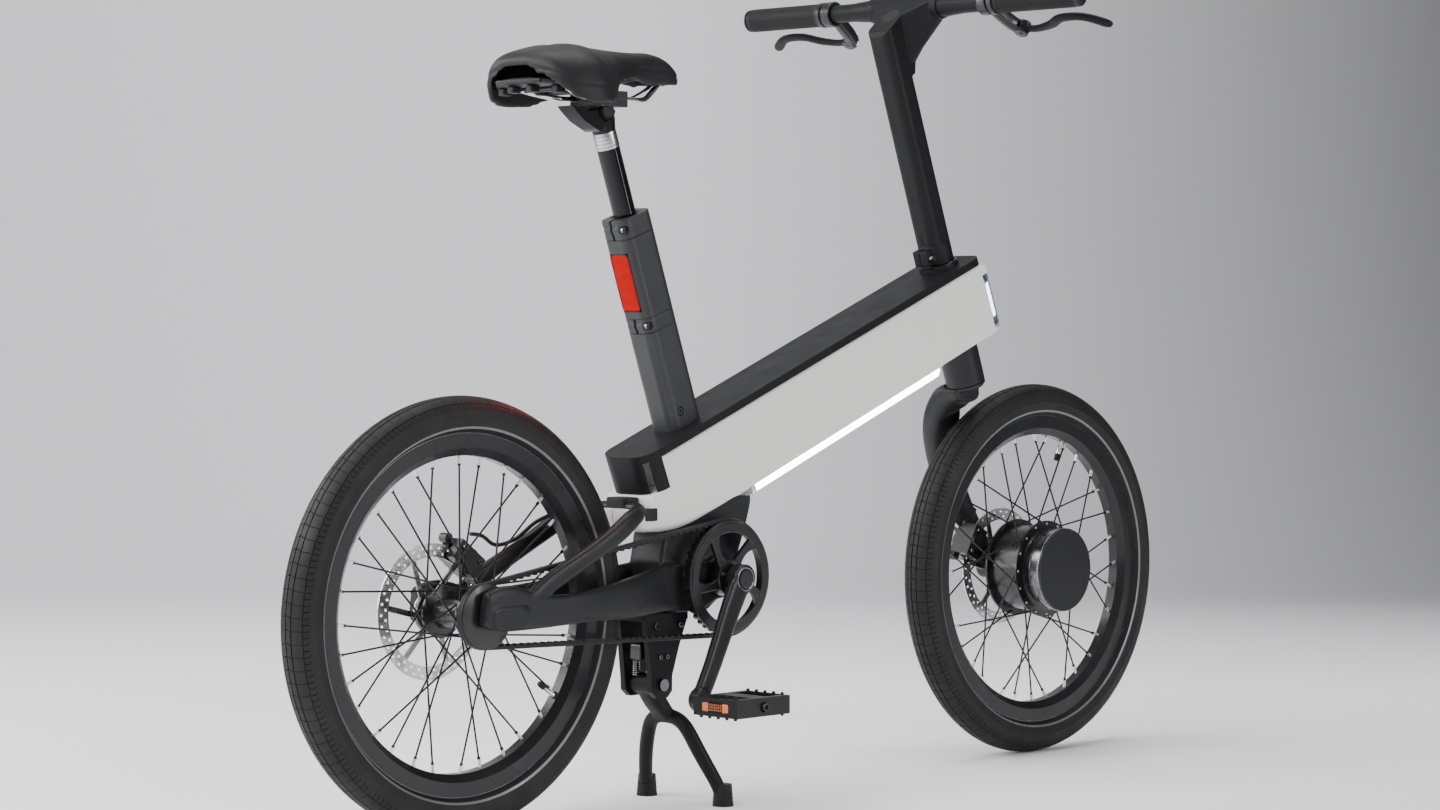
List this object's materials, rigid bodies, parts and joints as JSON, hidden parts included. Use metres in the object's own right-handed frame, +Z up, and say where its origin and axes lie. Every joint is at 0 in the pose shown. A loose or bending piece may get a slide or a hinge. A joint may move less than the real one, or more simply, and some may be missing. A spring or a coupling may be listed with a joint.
{
  "type": "compact electric bicycle",
  "caption": "Compact electric bicycle with box beam frame, one-sided fork, belt drive, hub motor, telescoping seat post, turnable stem and centre stand.",
  "frame": {"origin": "on the ground midway between the wheel axles, in the centre plane", "axes": "+X forward, +Y to the rider's left, +Z up"},
  "size_m": [1.5577, 0.5856, 1.0206],
  "materials": {
    "satin_black": "satin",
    "shell_white": "satin",
    "bare_alloy": "satin",
    "frame_grey": "satin",
    "steel": "brushed",
    "clear_lens": "gloss",
    "light_strip": "gloss",
    "circuit_green": "matte",
    "battery_wrap": "matte",
    "mast_grey": "satin",
    "red_lens": "gloss",
    "black_plastic": "matte",
    "belt_rubber": "matte",
    "caliper_black": "semi-gloss",
    "gloss_black": "gloss",
    "chrome_rail": "polished",
    "saddle_skin": "matte with a soft sheen",
    "tyre_black": "matte",
    "rim_black": "satin",
    "spoke_black": "satin",
    "hub_black": "satin",
    "cap_grey": "satin",
    "disc_steel": "brushed",
    "grip_rubber": "matte",
    "crank_grey": "satin"
  },
  "bodies": {
    "frame": {"deck": "satin_black", "rear_cap": "satin_black", "shell_right": "shell_white", "shell_left": "shell_white", "spine": "bare_alloy", "head_tube": "frame_grey", "frame_bearings": "steel", "headlight_lens": "clear_lens", "led_strips": "light_strip", "circuit_boards": "circuit_green", "battery_pack": "battery_wrap", "mast_tube": "mast_grey", "light_module": "mast_grey", "mast_clamps": "mast_grey", "tail_lens": "red_lens", "post_shim": "black_plastic", "frame_bolts": "steel", "yoke": "frame_grey", "stay_right": "frame_grey", "stay_left": "frame_grey", "stay_bridge": "frame_grey", "rear_axle": "steel", "belt": "belt_rubber", "rear_caliper": "caliper_black", "stand_bracket": "satin_black", "rear_hose": "black_plastic"},
    "seatpost": {"seatpost": "gloss_black"},
    "saddle": {"saddle_clamp": "steel", "saddle_rails": "chrome_rail", "saddle_base": "black_plastic", "saddle_cover": "saddle_skin"},
    "fork": {"fork_blade": "frame_grey", "steerer": "bare_alloy", "front_axle": "steel", "front_caliper": "caliper_black"},
    "front_wheel": {"front_tyre": "tyre_black", "front_rim": "rim_black", "front_spokes": "spoke_black", "hub_motor": "hub_black", "hub_cap": "cap_grey", "front_disc": "disc_steel"},
    "rear_wheel": {"rear_tyre": "tyre_black", "rear_rim": "rim_black", "rear_spokes": "spoke_black", "rear_hub": "hub_black", "rear_disc": "disc_steel"},
    "rear_pulley": {"rear_pulley": "crank_grey"},
    "stem": {"stem": "satin_black", "handlebar": "satin_black", "grips": "grip_rubber", "lever_bodies": "caliper_black"},
    "lever_right": {"lever_right": "gloss_black"},
    "lever_left": {"lever_left": "gloss_black"},
    "power_button": {"power_button": "black_plastic"},
    "crank": {"crank_set": "crank_grey", "front_pulley": "crank_grey"},
    "pedal_right": {"pedal_right": "black_plastic"},
    "pedal_left": {"pedal_left": "black_plastic"},
    "stand": {"stand_legs": "satin_black", "stand_feet": "grip_rubber"}
  },
  "joints": [
    {"name": "steering", "type": "hinge", "parent": "frame", "child": "fork", "pos_m": [0.32756, 0, 0.66458], "axis": [-0.3397, 0, 0.9405], "range_deg": [-60, 60]},
    {"name": "stem_turn", "type": "hinge", "parent": "fork", "child": "stem", "pos_m": [0.32756, 0, 0.66458], "axis": [-0.3397, 0, 0.9405], "range_deg": [-90, 90]},
    {"name": "front_wheel_spin", "type": "hinge", "parent": "fork", "child": "front_wheel", "pos_m": [0.526, 0, 0.253], "axis": [0, 1, 0], "continuous": true},
    {"name": "rear_wheel_spin", "type": "hinge", "parent": "frame", "child": "rear_wheel", "pos_m": [-0.526, 0, 0.253], "axis": [0, 1, 0], "continuous": true},
    {"name": "crank_spin", "type": "hinge", "parent": "frame", "child": "crank", "pos_m": [-0.128, 0, 0.277], "axis": [0, 1, 0], "continuous": true},
    {"name": "rear_pulley_spin", "type": "hinge", "parent": "frame", "child": "rear_pulley", "pos_m": [-0.526, 0, 0.253], "axis": [0, 1, 0], "continuous": true},
    {"name": "pedal_right_spin", "type": "hinge", "parent": "crank", "child": "pedal_right", "pos_m": [-0.22575, -0.167, 0.13792], "axis": [0, 1, 0], "continuous": true},
    {"name": "pedal_left_spin", "type": "hinge", "parent": "crank", "child": "pedal_left", "pos_m": [-0.03025, 0.167, 0.41608], "axis": [0, 1, 0], "continuous": true},
    {"name": "seatpost_slide", "type": "slide", "parent": "frame", "child": "seatpost", "axis": [-0.333, 0, 0.9429], "range_m": [-0.1, 0.06]},
    {"name": "saddle_tilt", "type": "hinge", "parent": "seatpost", "child": "saddle", "pos_m": [-0.30153, 0, 0.84408], "axis": [0, 1, 0], "range_deg": [-10, 10]},
    {"name": "lever_right_pull", "type": "hinge", "parent": "stem", "child": "lever_right", "pos_m": [0.31669, -0.15, 0.9726], "axis": [-0.5, 0, -0.866], "range_deg": [0, 12], "stiffness_Nm_per_rad": 1.5, "springref_deg": -8.59},
    {"name": "lever_left_pull", "type": "hinge", "parent": "stem", "child": "lever_left", "pos_m": [0.31669, 0.15, 0.9726], "axis": [0.5, 0, 0.866], "range_deg": [0, 12], "stiffness_Nm_per_rad": 1.5, "springref_deg": -8.59},
    {"name": "power_button_press", "type": "slide", "parent": "stem", "child": "power_button", "axis": [0.6688, 0, -0.7435], "range_m": [0, 0.0015], "stiffness_N_per_m": 400, "springref_m": -0.002},
    {"name": "stand_fold", "type": "hinge", "parent": "frame", "child": "stand", "pos_m": [-0.219, 0, 0.15], "axis": [0, 1, 0], "range_deg": [0, 85], "stiffness_Nm_per_rad": 1.5, "springref_deg": -17.19}
  ],
  "couplings": [
    {"joint": "rear_pulley_spin", "follows": "crank_spin", "ratio": 2}
  ]
}
